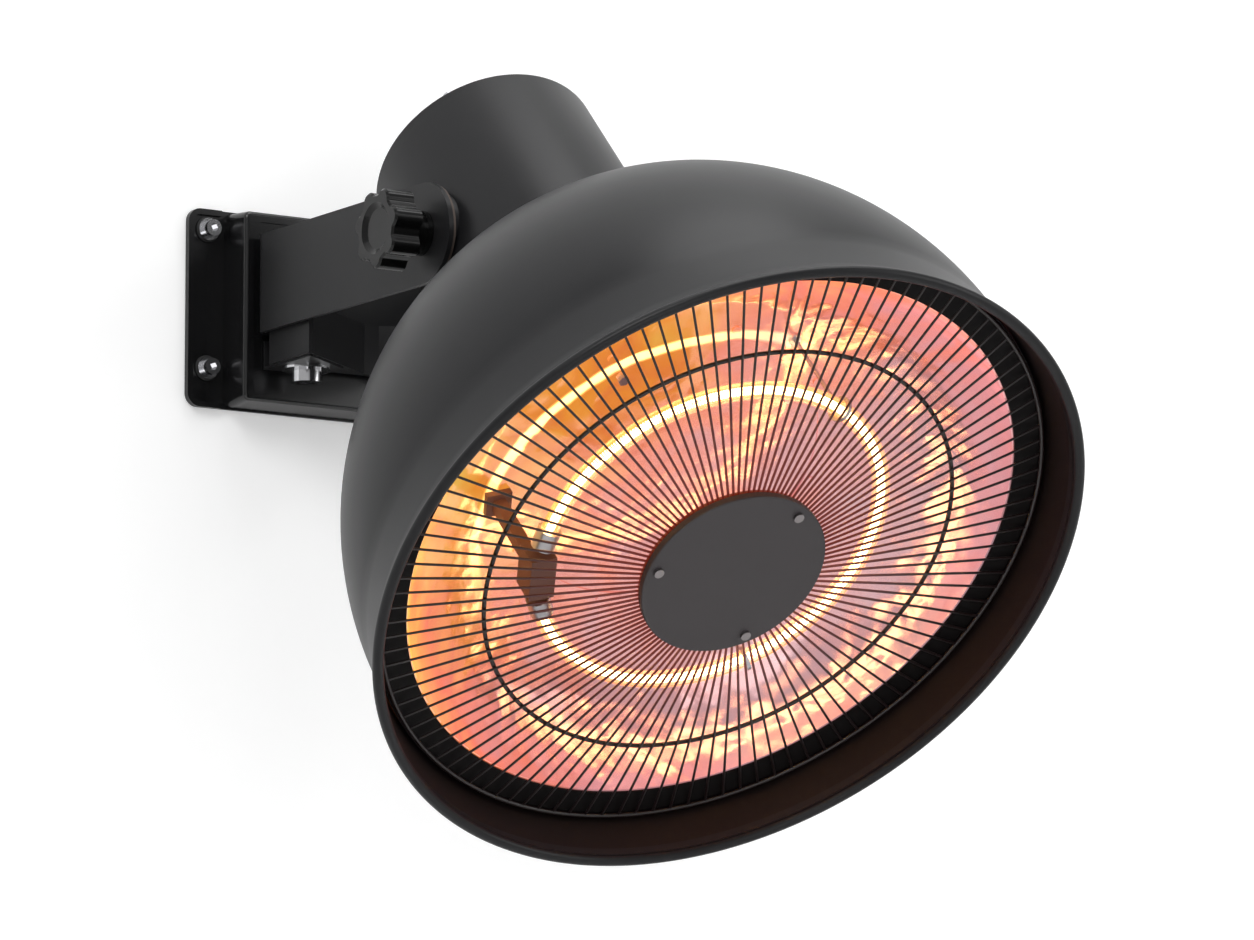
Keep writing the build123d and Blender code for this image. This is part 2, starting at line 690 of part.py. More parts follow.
def build_knob(side):
    # One star knob: lobed body, three pockets in its face, a hub and a collar that bears on the arm.
    with BuildPart() as knob:
        with BuildSketch(knob_plane(side, lobe_start)) as star:
            Circle(knob_core_radius)
            with PolarLocations(knob_radius - knob_lobe_radius, knob_lobes, start_angle=90):
                Circle(knob_lobe_radius)
            fillet(star.vertices(), radius=knob_valley_fillet)
        extrude(amount=knob_depth)
        chamfer(knob.faces().sort_by(Axis.X)[-1 if side > 0 else 0].edges(), length=knob_edge)
        with BuildSketch(knob_plane(side, hub_start)):
            Circle(knob_hub_radius)
        extrude(amount=knob_hub_length)
        with BuildSketch(knob_plane(side, collar_start)):
            Circle(knob_collar_radius)
        extrude(amount=knob_collar_thickness)
        with BuildSketch(knob_plane(side, knob_face)):
            Circle(knob_dish_radius)
        extrude(amount=-knob_dish_depth, taper=knob_dish_taper, mode=Mode.SUBTRACT)
        with BuildSketch(knob_plane(side, collar_start)):
            Circle(insert_radius + weld_gap)
        extrude(amount=insert_length, mode=Mode.SUBTRACT)
    return knob


def build_insert(side):
    # The threaded insert moulded in the knob's hub.
    with BuildPart() as insert:
        with BuildSketch(knob_plane(side, collar_start)):
            Circle(insert_radius)
            Circle(stud_radius + weld_gap, mode=Mode.SUBTRACT)
        extrude(amount=insert_length - 0.5)
    return insert


save(build_knob(-1), "knob_left")
save(build_knob(1), "knob_right")
save(build_insert(-1), "knob_insert_left")
save(build_insert(1), "knob_insert_right")

# Frame ring: the black annular band inside the skirt that carries reflector and grille
frame_front = back(frame_ring_back)
frame_back = frame_front - frame_ring_sheet
frame_foot = frame_front - frame_flange_height
skirt_share = (frame_ring_back + frame_flange_height) / skirt_depth
frame_outer = bead_centre + (crown_radius - bead_centre) * skirt_share - shade_sheet - 0.7
stud_circle = frame_ring_inner + 6
with BuildPart() as frame_ring:
    with BuildSketch(head_profile):
        with BuildLine():
            Polyline((frame_ring_inner, frame_front), (frame_outer, frame_front), (frame_outer, frame_foot),
                     (frame_outer - frame_ring_sheet, frame_foot), (frame_outer - frame_ring_sheet, frame_back),
                     (frame_ring_inner, frame_back), close=True)
        make_face()
    revolve(axis=head_axis)
    with BuildSketch(head_plane(frame_back)):
        with PolarLocations(stud_circle, stud_count, start_angle=45):
            Circle(small_stud_radius)
    extrude(amount=-small_stud_length)
save(frame_ring, "frame_ring")

# Reflector: a wide bowl whose turned edge is held on the frame ring's studs, and a flat floor riveted to it
lip_front = frame_back - weld_gap
lip_back = lip_front - reflector_sheet
floor_front = back(reflector_floor_back)
flange_rear = floor_front - reflector_sheet
bowl_edge = frame_ring_inner - 1
bowl_mid_radius = (bowl_edge + reflector_floor_radius) / 2 + reflector_bulge
bowl_mid_along = (lip_front + floor_front) / 2 - reflector_bulge
with BuildPart() as reflector:
    with BuildSketch(head_profile):
        with BuildLine():
            Line((bowl_edge + reflector_lip, lip_front), (bowl_edge, lip_front))
            ThreePointArc((bowl_edge, lip_front), (bowl_mid_radius, bowl_mid_along),
                          (reflector_floor_radius, floor_front))
            Polyline((reflector_floor_radius, floor_front), (reflector_hole_radius, floor_front),
                     (reflector_hole_radius, flange_rear), (reflector_floor_radius, flange_rear))
            ThreePointArc((reflector_floor_radius, flange_rear),
                          (bowl_mid_radius + reflector_sheet * 0.7, bowl_mid_along - reflector_sheet * 0.7),
                          (bowl_edge + reflector_sheet, lip_back))
            Polyline((bowl_edge + reflector_sheet, lip_back), (bowl_edge + reflector_lip, lip_back),
                     (bowl_edge + reflector_lip, lip_front))
        make_face()
    revolve(axis=head_axis)
    with BuildSketch(head_plane(lip_front)):
        with PolarLocations(stud_circle, stud_count, start_angle=45):
            Circle(small_stud_radius + pivot_clearance)
    extrude(amount=-reflector_sheet, mode=Mode.SUBTRACT)
    with BuildSketch(head_plane(floor_front)):
        with PolarLocations(rivet_circle, rivet_count):
            Circle(small_stud_radius)
    extrude(amount=-reflector_sheet, mode=Mode.SUBTRACT)
save(reflector, "reflector")

plate_front = flange_rear - weld_gap
floor_rear = plate_front - reflector_sheet
with BuildPart() as reflector_floor:
    with BuildSketch(head_plane(plate_front)):
        Circle(reflector_hole_radius + floor_lap)
        with PolarLocations(standoff_circle, stud_count, start_angle=45):
            Circle(small_stud_radius + pivot_clearance, mode=Mode.SUBTRACT)
        with PolarLocations(rivet_circle, rivet_count):
            Circle(small_stud_radius, mode=Mode.SUBTRACT)
    extrude(amount=-reflector_sheet)
save(reflector_floor, "reflector_floor")

with BuildPart() as floor_rivets:
    with BuildSketch(head_plane(floor_front), head_plane(floor_rear - rivet_head_height)):
        with PolarLocations(rivet_circle, rivet_count):
            Circle(rivet_head_radius)
    extrude(amount=rivet_head_height)
    with BuildSketch(head_plane(floor_rear)):
        with PolarLocations(rivet_circle, rivet_count):
            Circle(small_stud_radius - weld_gap)
    extrude(amount=floor_front - floor_rear)
save(floor_rivets, "floor_rivets")

with BuildPart() as reflector_nuts:
    with BuildSketch(head_plane(lip_back)):
        with PolarLocations(stud_circle, stud_count, start_angle=45):
            RegularPolygon(small_nut_radius, 6)
            Circle(small_stud_radius + pivot_clearance / 2, mode=Mode.SUBTRACT)
    extrude(amount=-small_nut_height)
save(reflector_nuts, "reflector_nuts")

# Heat shield behind the reflector on four standoffs
shield_front = back(shield_back)
with BuildPart() as heat_shield:
    with BuildSketch(head_profile):
        with BuildLine():
            Polyline((0, shield_front), (shield_radius, shield_front), (shield_radius, shield_front + shield_lip),
                     (shield_radius + shield_sheet, shield_front + shield_lip),
                     (shield_radius + shield_sheet, shield_front - shield_sheet), (0, shield_front - shield_sheet),
                     close=True)
        make_face()
    revolve(axis=head_axis)
    with BuildSketch(head_plane(shield_front)):
        with PolarLocations(standoff_circle, stud_count, start_angle=45):
            Circle(small_stud_radius + pivot_clearance)
    extrude(amount=-shield_sheet, mode=Mode.SUBTRACT)
save(heat_shield, "heat_shield")

with BuildPart() as standoffs:
    with BuildSketch(head_plane(shield_front)):
        with PolarLocations(standoff_circle, stud_count, start_angle=45):
            Circle(standoff_radius)
    extrude(amount=floor_rear - shield_front)
    with BuildSketch(head_plane(shield_front - shield_sheet - small_nut_height)):
        with PolarLocations(standoff_circle, stud_count, start_angle=45):
            Circle(small_stud_radius)
    extrude(amount=plate_front + small_nut_height - shield_front + shield_sheet + small_nut_height)
save(standoffs, "standoffs")

with BuildPart() as standoff_nuts:
    with BuildSketch(head_plane(plate_front), head_plane(shield_front - shield_sheet - small_nut_height)):
        with PolarLocations(standoff_circle, stud_count, start_angle=45):
            RegularPolygon(small_nut_radius, 6)
            Circle(small_stud_radius + pivot_clearance / 2, mode=Mode.SUBTRACT)
    extrude(amount=small_nut_height)
save(standoff_nuts, "standoff_nuts")

# Lamp: an open quartz ring with its filament, a metal cap at each end and a ceramic holder between
lamp_along = back(lamp_back)
lamp_start = lamp_gap_centre + lamp_gap_angle / 2
lamp_sweep = 360 - lamp_gap_angle
lamp_angle = radians(lamp_start)
lamp_side = Vector(cos(lamp_angle), -tilt_cos * sin(lamp_angle), tilt_sin * sin(lamp_angle))
lamp_centre = pivot + head_out * lamp_along
lamp_profile = Plane(origin=lamp_centre, x_dir=lamp_side, z_dir=lamp_side.cross(head_out))
with BuildPart() as lamp_tube:
    with BuildSketch(lamp_profile):
        with Locations((lamp_ring_radius, 0)):
            Circle(lamp_tube_radius)
            Circle(lamp_tube_radius - lamp_tube_wall, mode=Mode.SUBTRACT)
    revolve(axis=Axis(lamp_centre, head_out), revolution_arc=lamp_sweep)
save(lamp_tube, "lamp_tube")

with BuildPart() as lamp_filament:
    with BuildSketch(lamp_profile):
        with Locations((lamp_ring_radius, 0)):
            Circle(filament_radius)
    revolve(axis=Axis(lamp_centre, head_out), revolution_arc=lamp_sweep)
save(lamp_filament, "lamp_filament")


def lamp_point_plane(angle, radius, along):
    # A plane across the lamp's ring, facing the way the ring runs, at one angle round it.
    turn = radians(angle)
    spoke = Vector(cos(turn), -tilt_cos * sin(turn), tilt_sin * sin(turn))
    return Plane(origin=pivot + head_out * along + spoke * radius, x_dir=spoke, z_dir=spoke.cross(head_out) * -1)


def holder_plane(along):
    # A plane square to the head's axis over the lamp's gap, its X along the radius.
    turn = radians(lamp_gap_centre)
    spoke = Vector(cos(turn), -tilt_cos * sin(turn), tilt_sin * sin(turn))
    return Plane(origin=pivot + head_out * along + spoke * lamp_ring_radius, x_dir=spoke, z_dir=head_out)


with BuildPart() as lamp_caps:
    for end, way in ((lamp_gap_centre - lamp_gap_angle / 2, 1), (lamp_gap_centre + lamp_gap_angle / 2, -1)):
        with BuildSketch(lamp_point_plane(end, lamp_ring_radius, lamp_along).offset(weld_gap * way)):
            Circle(lamp_cap_radius)
        extrude(amount=lamp_cap_length * way)
save(lamp_caps, "lamp_caps")

gap_chord = 2 * lamp_ring_radius * sin(radians(lamp_gap_angle / 2))
with BuildPart() as lamp_holder:
    with BuildSketch(holder_plane(lamp_along - holder_height / 2 - holder_wall)):
        Rectangle(holder_width, gap_chord - 2 * lamp_cap_length - 2 * holder_wall)
    extrude(amount=holder_height + holder_wall)
    with BuildSketch(holder_plane(floor_front + weld_gap)):
        Rectangle(holder_width, holder_width)
    extrude(amount=holder_wall)
    with BuildSketch(holder_plane(floor_front + weld_gap)):
        Rectangle(holder_width / 2, holder_width / 2)
    extrude(amount=lamp_along - floor_front - holder_height / 2)
save(lamp_holder, "lamp_holder")

with BuildPart() as lamp_clips:
    for angle in lamp_clip_angles:
        with BuildSketch(lamp_point_plane(angle, lamp_ring_radius, lamp_along)):
            Circle(lamp_tube_radius + 2 * lamp_clip_wire)
            Circle(lamp_tube_radius + weld_gap, mode=Mode.SUBTRACT)
        extrude(amount=lamp_clip_wire, both=True)
    with BuildSketch(head_plane(floor_front + weld_gap)):
        for angle in lamp_clip_angles:
            with Locations((lamp_ring_radius * cos(radians(angle)), lamp_ring_radius * sin(radians(angle)))):
                Circle(lamp_clip_wire)
    extrude(amount=lamp_along - lamp_tube_radius - lamp_clip_wire - floor_front)
    with BuildSketch(head_plane(floor_front + weld_gap)):
        for angle in lamp_clip_angles:
            with Locations((lamp_ring_radius * cos(radians(angle)), lamp_ring_radius * sin(radians(angle)))):
                Circle(3 * lamp_clip_wire)
    extrude(amount=lamp_clip_wire)
save(lamp_clips, "lamp_clips")

# Grille: straight wires from the hub to the outer ring, laid over a middle ring and welded
wire_run = grille_ring_radius - grille_ring_wire - grille_start_radius + weld_overlap
wire_drop = (grille_end_back - grille_start_back) * wire_run / (grille_ring_radius - grille_start_radius)
wire_lean = degrees(atan2(wire_drop, wire_run))
wire_length = hypot(wire_run, wire_drop)
wire_mid_radius = grille_start_radius + wire_run / 2
wire_mid_along = back(grille_start_back) - wire_drop / 2
with BuildPart(head_plane(wire_mid_along)) as grille_wires:
    with PolarLocations(wire_mid_radius, grille_wire_count):
        Cylinder(grille_wire, wire_length, rotation=(0, 90 + wire_lean, 0))
save(grille_wires, "grille_wires")

with BuildPart() as grille_outer_ring:
    with BuildSketch(head_profile):
        with Locations((grille_ring_radius, back(grille_end_back))):
            Circle(grille_ring_wire)
    revolve(axis=head_axis)
save(grille_outer_ring, "grille_outer_ring")

mid_wire_along = back(grille_start_back) - (grille_mid_radius - grille_start_radius) * wire_drop / wire_run
mid_ring_along = mid_wire_along - (grille_wire + grille_mid_wire - weld_overlap) / cos(radians(wire_lean))
with BuildPart() as grille_middle_ring:
    with BuildSketch(head_profile):
        with Locations((grille_mid_radius, mid_ring_along)):
            Circle(grille_mid_wire)
    revolve(axis=head_axis)
save(grille_middle_ring, "grille_middle_ring")

hub_front = back(grille_start_back) - grille_wire - (hub_radius - grille_start_radius) * wire_drop / wire_run + 0.3
with BuildPart() as grille_hub:
    with BuildSketch(head_plane(hub_front)):
        Circle(hub_radius)
        with PolarLocations(disc_screw_circle, 3, start_angle=disc_screw_turn):
            Circle(disc_screw_radius + pivot_clearance, mode=Mode.SUBTRACT)
    extrude(amount=-hub_sheet)
save(grille_hub, "grille_hub")

# Centre disc: a shallow cup over the wires' inner ends, screwed to the hub
disc_face = back(0) + disc_front
disc_rim = back(grille_start_back) + grille_wire - (disc_radius - disc_sheet - grille_start_radius) * 0.148 + 0.05
with BuildPart() as centre_disc:
    with BuildSketch(head_plane(disc_rim)):
        Circle(disc_radius)
    extrude(amount=disc_face - disc_rim)
    fillet(centre_disc.edges().group_by(SortBy.LENGTH)[-1].sort_by(Axis((0, 0, 0), head_out))[-1:],
           radius=disc_corner)
    with BuildSketch(head_plane(disc_rim)):
        Circle(disc_radius - disc_sheet)
    extrude(amount=disc_face - disc_rim - disc_sheet, mode=Mode.SUBTRACT)
    with BuildSketch(head_plane(disc_rim)):
        with PolarLocations(disc_screw_circle, 3, start_angle=disc_screw_turn):
            Circle(disc_screw_radius + pivot_clearance)
    extrude(amount=disc_face - disc_rim, mode=Mode.SUBTRACT)
save(centre_disc, "centre_disc")

with BuildPart() as disc_screws:
    with BuildSketch(head_plane(disc_face)):
        with PolarLocations(disc_screw_circle, 3, start_angle=disc_screw_turn):
            Circle(disc_screw_head)
    extrude(amount=disc_screw_head_height)
    with BuildSketch(head_plane(disc_face)):
        with PolarLocations(disc_screw_circle, 3, start_angle=disc_screw_turn):
            Circle(disc_screw_radius)
    extrude(amount=-(disc_face - hub_front + hub_sheet + small_nut_height + 1))
save(disc_screws, "disc_screws")

with BuildPart() as disc_nuts:
    with BuildSketch(head_plane(hub_front - hub_sheet)):
        with PolarLocations(disc_screw_circle, 3, start_angle=disc_screw_turn):
            RegularPolygon(small_nut_radius, 6)
            Circle(disc_screw_radius + pivot_clearance / 2, mode=Mode.SUBTRACT)
    extrude(amount=-small_nut_height)
save(disc_nuts, "disc_nuts")
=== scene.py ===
from math import acos, cos, pi, radians, sin

import bpy
from mathutils import Matrix, Vector


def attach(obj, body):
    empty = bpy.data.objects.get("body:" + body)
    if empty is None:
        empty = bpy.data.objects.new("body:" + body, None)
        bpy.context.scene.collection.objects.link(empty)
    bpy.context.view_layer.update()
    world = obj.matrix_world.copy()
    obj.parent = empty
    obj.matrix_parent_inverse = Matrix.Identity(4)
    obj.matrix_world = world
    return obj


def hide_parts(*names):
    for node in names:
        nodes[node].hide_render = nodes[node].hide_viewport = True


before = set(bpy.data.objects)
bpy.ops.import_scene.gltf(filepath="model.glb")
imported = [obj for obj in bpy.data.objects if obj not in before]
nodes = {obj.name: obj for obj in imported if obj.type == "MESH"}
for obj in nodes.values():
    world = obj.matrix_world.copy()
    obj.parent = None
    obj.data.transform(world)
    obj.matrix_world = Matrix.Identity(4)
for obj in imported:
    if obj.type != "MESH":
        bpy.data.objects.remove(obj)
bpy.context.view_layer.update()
millimetre = 0.001

# The head's own axes, at rest: from the tilt axis out to the open rim
headSetup = {"tiltDegrees": 43.7, "pivotReach": 219.0, "pivotHeight": 6.4, "rimDistance": 300.0}
tilt = radians(headSetup["tiltDegrees"])
pivotPoint = Vector((0, -headSetup["pivotReach"], headSetup["pivotHeight"])) * millimetre
headOut = Vector((0, -sin(tilt), -cos(tilt)))
headSide = Vector((1, 0, 0))
headUp = headOut.cross(headSide)


def headPoint(radius, turn, back):
    # a point of the head: radius and turn round its axis, and how far behind the rim, in mm
    along = (headSetup["rimDistance"] - back) * millimetre
    spoke = headSide * cos(turn) + headUp * sin(turn)
    return pivotPoint + headOut * along + spoke * (radius * millimetre)


# Meshes made here from profiles


def addPiece(name, points, faces, material, smooth=True):
    mesh = bpy.data.meshes.new(name)
    mesh.from_pydata([tuple(p) for p in points], [], faces)
    mesh.validate()
    mesh.update()
    piece = bpy.data.objects.new(name, mesh)
    bpy.context.scene.collection.objects.link(piece)
    mesh.materials.append(material)
    if smooth:
        for polygon in mesh.polygons:
            polygon.use_smooth = True
        mesh.set_sharp_from_angle(angle=radians(32))
    return piece


def spinProfile(name, profile, material, steps=240, closed=True):
    # turns a list of (radius, back) pairs round the head's axis
    points = []
    for step in range(steps):
        turn = 2 * pi * step / steps
        points += [headPoint(radius, turn, back) for radius, back in profile]
    count = len(profile)
    spans = count if closed else count - 1
    faces = []
    for step in range(steps):
        here, there = step * count, (step + 1) % steps * count
        for i in range(spans):
            j = (i + 1) % count
            faces.append((here + i, there + i, there + j, here + j))
    return addPiece(name, points, faces, material)


def arcPoints(centre, radius, start, end, steps):
    # points on an arc in a profile, start and end in degrees
    turns = [radians(start + (end - start) * i / steps) for i in range(steps + 1)]
    return [(centre[0] + radius * cos(t), centre[1] + radius * sin(t)) for t in turns]


# Shader nodes


def newGroup(name, inputs, outputs):
    group = bpy.data.node_groups.new(name, "ShaderNodeTree")
    for label, kind, default in inputs:
        socket = group.interface.new_socket(label, in_out="INPUT", socket_type=kind)
        socket.default_value = default
    for label, kind in outputs:
        group.interface.new_socket(label, in_out="OUTPUT", socket_type=kind)
    return group, group.nodes.new("NodeGroupInput"), group.nodes.new("NodeGroupOutput")


def mathNode(tree, operation, first, second=None, clamp=False):
    node = tree.nodes.new("ShaderNodeMath")
    node.operation = operation
    node.use_clamp = clamp
    for index, value in enumerate((first, second)):
        if value is None:
            continue
        if hasattr(value, "links"):
            tree.links.new(value, node.inputs[index])
        else:
            node.inputs[index].default_value = value
    return node.outputs[0]


def vectorNode(tree, operation, first, second=None):
    node = tree.nodes.new("ShaderNodeVectorMath")
    node.operation = operation
    for index, value in enumerate((first, second)):
        if value is None:
            continue
        if hasattr(value, "links"):
            tree.links.new(value, node.inputs[index])
        else:
            node.inputs[index].default_value = value
    return node.outputs["Value" if operation in ("LENGTH", "DOT_PRODUCT") else "Vector"]


paintTexture = {"cloudScale": 9, "cloudDetail": 5, "roughnessSpread": 0.12, "grainDepth": 0.0002}


def buildPaintGroup():
    # fine orange peel, faint cloudy shade changes and a little dust, for every painted or moulded face
    group, enter, leave = newGroup(
        "paintSurface",
        [("Color", "NodeSocketColor", (0.05, 0.05, 0.05, 1)),
         ("Dust Color", "NodeSocketColor", (0.2, 0.2, 0.2, 1)),
         ("Roughness", "NodeSocketFloat", 0.4), ("Grain Scale", "NodeSocketFloat", 900.0),
         ("Dust", "NodeSocketFloat", 0.1)],
        [("Color", "NodeSocketColor"), ("Roughness", "NodeSocketFloat"), ("Height", "NodeSocketFloat")])
    place = group.nodes.new("ShaderNodeTexCoord")
    grain = group.nodes.new("ShaderNodeTexNoise")
    cloud = group.nodes.new("ShaderNodeTexNoise")
    cloud.inputs["Scale"].default_value = paintTexture["cloudScale"]
    cloud.inputs["Detail"].default_value = paintTexture["cloudDetail"]
    group.links.new(place.outputs["Object"], grain.inputs["Vector"])
    group.links.new(place.outputs["Object"], cloud.inputs["Vector"])
    group.links.new(enter.outputs["Grain Scale"], grain.inputs["Scale"])
    dust = mathNode(group, "MULTIPLY", cloud.outputs["Fac"], enter.outputs["Dust"])
    mix = group.nodes.new("ShaderNodeMix")
    mix.data_type = "RGBA"
    group.links.new(dust, mix.inputs["Factor"])
    group.links.new(enter.outputs["Color"], mix.inputs[6])
    group.links.new(enter.outputs["Dust Color"], mix.inputs[7])
    group.links.new(mix.outputs[2], leave.inputs["Color"])
    centred = mathNode(group, "SUBTRACT", cloud.outputs["Fac"], 0.5)
    spread = mathNode(group, "MULTIPLY", centred, paintTexture["roughnessSpread"])
    group.links.new(mathNode(group, "ADD", enter.outputs["Roughness"], spread, True),
                    leave.inputs["Roughness"])
    group.links.new(grain.outputs["Fac"], leave.inputs["Height"])
    return group


def buildHeadPlaceGroup():
    # where a point lies on the head: its distance from the axis and its height across it, in metres
    group, enter, leave = newGroup("headPlace", [],
                                   [("Radius", "NodeSocketFloat"), ("Across", "NodeSocketFloat"),
                                    ("Back", "NodeSocketFloat"), ("Side", "NodeSocketFloat")])
    place = group.nodes.new("ShaderNodeTexCoord")
    fromPivot = vectorNode(group, "SUBTRACT", place.outputs["Object"], tuple(pivotPoint))
    radius = vectorNode(group, "LENGTH", vectorNode(group, "CROSS_PRODUCT", fromPivot, tuple(headOut)))
    group.links.new(radius, leave.inputs["Radius"])
    group.links.new(vectorNode(group, "DOT_PRODUCT", fromPivot, tuple(headUp)), leave.inputs["Across"])
    group.links.new(vectorNode(group, "DOT_PRODUCT", fromPivot, tuple(headSide)), leave.inputs["Side"])
    along = vectorNode(group, "DOT_PRODUCT", fromPivot, tuple(headOut))
    back = mathNode(group, "SUBTRACT", headSetup["rimDistance"] * millimetre, along)
    group.links.new(back, leave.inputs["Back"])
    return group


paintGroup = buildPaintGroup()
headPlaceGroup = buildHeadPlaceGroup()


def placeGroup(tree, group):
    node = tree.nodes.new("ShaderNodeGroup")
    node.node_tree = group
    return node


def newMaterial(name):
    material = bpy.data.materials.new(name)
    material.use_nodes = True
    shader = material.node_tree.nodes["Principled BSDF"]
    return material, material.node_tree, shader


def paintMaterial(name, finish):
    # satin or gloss paint, plastic, rubber and ceramic all share the paint group
    material, tree, shader = newMaterial(name)
    surface = placeGroup(tree, paintGroup)
    surface.inputs["Color"].default_value = (*finish["color"], 1)
    surface.inputs["Dust Color"].default_value = (*finish.get("dustColor", finish["color"]), 1)
    surface.inputs["Roughness"].default_value = finish["roughness"]
    surface.inputs["Grain Scale"].default_value = finish.get("grainScale", 900)
    surface.inputs["Dust"].default_value = finish.get("dust", 0.1)
    bump = tree.nodes.new("ShaderNodeBump")
    bump.inputs["Strength"].default_value = finish.get("grain", 0.1)
    bump.inputs["Distance"].default_value = paintTexture["grainDepth"]
    tree.links.new(surface.outputs["Color"], shader.inputs["Base Color"])
    tree.links.new(surface.outputs["Roughness"], shader.inputs["Roughness"])
    tree.links.new(surface.outputs["Height"], bump.inputs["Height"])
    tree.links.new(bump.outputs["Normal"], shader.inputs["Normal"])
    shader.inputs["Coat Weight"].default_value = finish.get("coat", 0)
    shader.inputs["Coat Roughness"].default_value = finish.get("coatRoughness", 0.1)
    shader.inputs["Metallic"].default_value = finish.get("metallic", 0)
    shader.inputs["Specular IOR Level"].default_value = finish.get("specular", 0.5)
    return material


finishes = {
    "shadePaint": {"color": (0.0095, 0.0095, 0.0105), "dustColor": (0.017, 0.017, 0.018), "roughness": 0.36,
                   "grain": 0.12, "dust": 0.5, "coat": 0.03, "coatRoughness": 0.25, "specular": 0.2},
    # inside of the shade: the shade paint made darker and faintly red, painted shade with a faint painted
    # glow of the lamp
    "shadeInsidePaintedShadeAndGlow": {"color": (0.006, 0.003, 0.0028), "dustColor": (0.010, 0.0045, 0.004), "roughness": 0.5,
                    "grain": 0.10, "dust": 0.4, "specular": 0.22},
    "armPaint": {"color": (0.0125, 0.0125, 0.0135), "dustColor": (0.022, 0.022, 0.022), "roughness": 0.34,
                 "grain": 0.16, "dust": 0.4, "coat": 0.03, "coatRoughness": 0.25, "specular": 0.22},
    "plateEnamel": {"color": (0.0035, 0.0035, 0.004), "dustColor": (0.012, 0.012, 0.012), "roughness": 0.24,
                    "grain": 0.08, "dust": 0.3, "coat": 0.25, "coatRoughness": 0.10, "specular": 0.4},
    "knobGloss": {"color": (0.003, 0.003, 0.003), "dustColor": (0.010, 0.010, 0.010), "roughness": 0.20,
                  "grain": 0.04, "dust": 0.2, "coat": 0.15, "coatRoughness": 0.06, "specular": 0.25},
    "innerBlack": {"color": (0.0025, 0.0015, 0.0015), "roughness": 0.6, "grain": 0.1, "dust": 0.1,
                   "specular": 0.15},
    # lamp holder ceramic: a darker, redder copy of the steatite finish
    "darkRedSteatite": {"color": (0.16, 0.075, 0.055), "dustColor": (0.22, 0.10, 0.07), "roughness": 0.6,
                    "grain": 0.4, "dust": 0.4, "specular": 0.3},
    "sealRubber": {"color": (0.012, 0.012, 0.012), "roughness": 0.7, "grain": 0.3, "dust": 0.3},
    "discPaint": {"color": (0.026, 0.021, 0.023), "dustColor": (0.036, 0.030, 0.031), "roughness": 0.5,
                  "grain": 0.15, "dust": 0.5},
    "fibre": {"color": (0.08, 0.06, 0.05), "roughness": 0.8, "grain": 0.5, "dust": 0.4},
    "steatite": {"color": (0.70, 0.66, 0.58), "roughness": 0.6, "grain": 0.4, "dust": 0.2},
    "glandNylon": {"color": (0.012, 0.012, 0.012), "roughness": 0.5, "grain": 0.3, "dust": 0.2},
    "chromePlate": {"color": (0.72, 0.72, 0.74), "roughness": 0.12, "grain": 0.04, "dust": 0.1,
                    "metallic": 1, "grainScale": 400},
    "dullScrew": {"color": (0.26, 0.24, 0.24), "roughness": 0.36, "grain": 0.15, "dust": 0.1,
                  "metallic": 1},
    "zincPlate": {"color": (0.55, 0.55, 0.57), "roughness": 0.34, "grain": 0.15, "dust": 0.1,
                  "metallic": 1},
    "brassTurned": {"color": (0.62, 0.42, 0.16), "roughness": 0.3, "grain": 0.15, "dust": 0.1,
                    "metallic": 1},
    "bareSheet": {"color": (0.42, 0.40, 0.39), "roughness": 0.38, "grain": 0.2, "dust": 0.2, "metallic": 1},
}
paints = {name: paintMaterial(name, finish) for name, finish in finishes.items()}
print("stage 1: paints and metals built")

# The bright bowl: hammered aluminium with the lamp's colour painted in: a lamp-tinted metal colour and a
# painted glow that stands in for the lamp's light, strongest towards its upper side
bowlFinish = {"metal": (0.46, 0.30, 0.29), "paintedGlow": 0.72, "dimpleScale": 85, "roughness": 0.15,
              "waveScale": 26, "waveDetail": 3, "waveDistortion": 0.8,
              "bumpStrength": 0.6, "bumpDepth": 0.0012,
              "paintedGlowTones": ((0.02, (0.50, 0.30, 0.34)), (0.26, (0.60, 0.25, 0.26)), (0.48, (0.85, 0.17, 0.06)),
                        (0.68, (1.0, 0.36, 0.04)), (0.92, (1.0, 0.68, 0.13))),
              "towardsSide": -2.3, "towardsAcross": 1.0, "mottle": 0.62, "middle": 0.16}
# The lamp's mirror image in the bowl: a thin bright ring, off centre and broken by the dimples
mirrorRing = {"side": 0.021, "across": -0.030, "radius": 0.124, "halfWidth": 0.0048,
              "color": (1.0, 0.72, 0.30), "strength": 3.4, "wobble": 0.008, "towardsSide": -5.0,
              "towardsAcross": 4.0, "middle": 0.12}



def buildMirrorMask(tree, place, wobble):
    # one where the lamp's mirror image falls, zero elsewhere
    acrossGap = mathNode(tree, "SUBTRACT", place.outputs["Across"], mirrorRing["across"])
    sideGap = mathNode(tree, "SUBTRACT", place.outputs["Side"], mirrorRing["side"])
    squares = mathNode(tree, "ADD", mathNode(tree, "POWER", mathNode(tree, "ABSOLUTE", acrossGap), 2),
                       mathNode(tree, "POWER", mathNode(tree, "ABSOLUTE", sideGap), 2))
    distance = mathNode(tree, "SUBTRACT", mathNode(tree, "SQRT", squares), mirrorRing["radius"])
    shake = mathNode(tree, "MULTIPLY", mathNode(tree, "SUBTRACT", wobble, 0.5), mirrorRing["wobble"])
    shaken = mathNode(tree, "ADD", distance, shake)
    fade = tree.nodes.new("ShaderNodeMapRange")
    fade.interpolation_type = "SMOOTHSTEP"
    fade.inputs["From Min"].default_value = mirrorRing["halfWidth"]
    fade.inputs["From Max"].default_value = mirrorRing["halfWidth"] * 0.4
    tree.links.new(mathNode(tree, "ABSOLUTE", shaken), fade.inputs["Value"])
    across = mathNode(tree, "MULTIPLY", place.outputs["Across"], mirrorRing["towardsAcross"])
    side = mathNode(tree, "MULTIPLY", place.outputs["Side"], mirrorRing["towardsSide"])
    lit = mathNode(tree, "ADD", mathNode(tree, "ADD", across, side), mirrorRing["middle"], True)
    return mathNode(tree, "MULTIPLY", fade.outputs["Result"], lit)


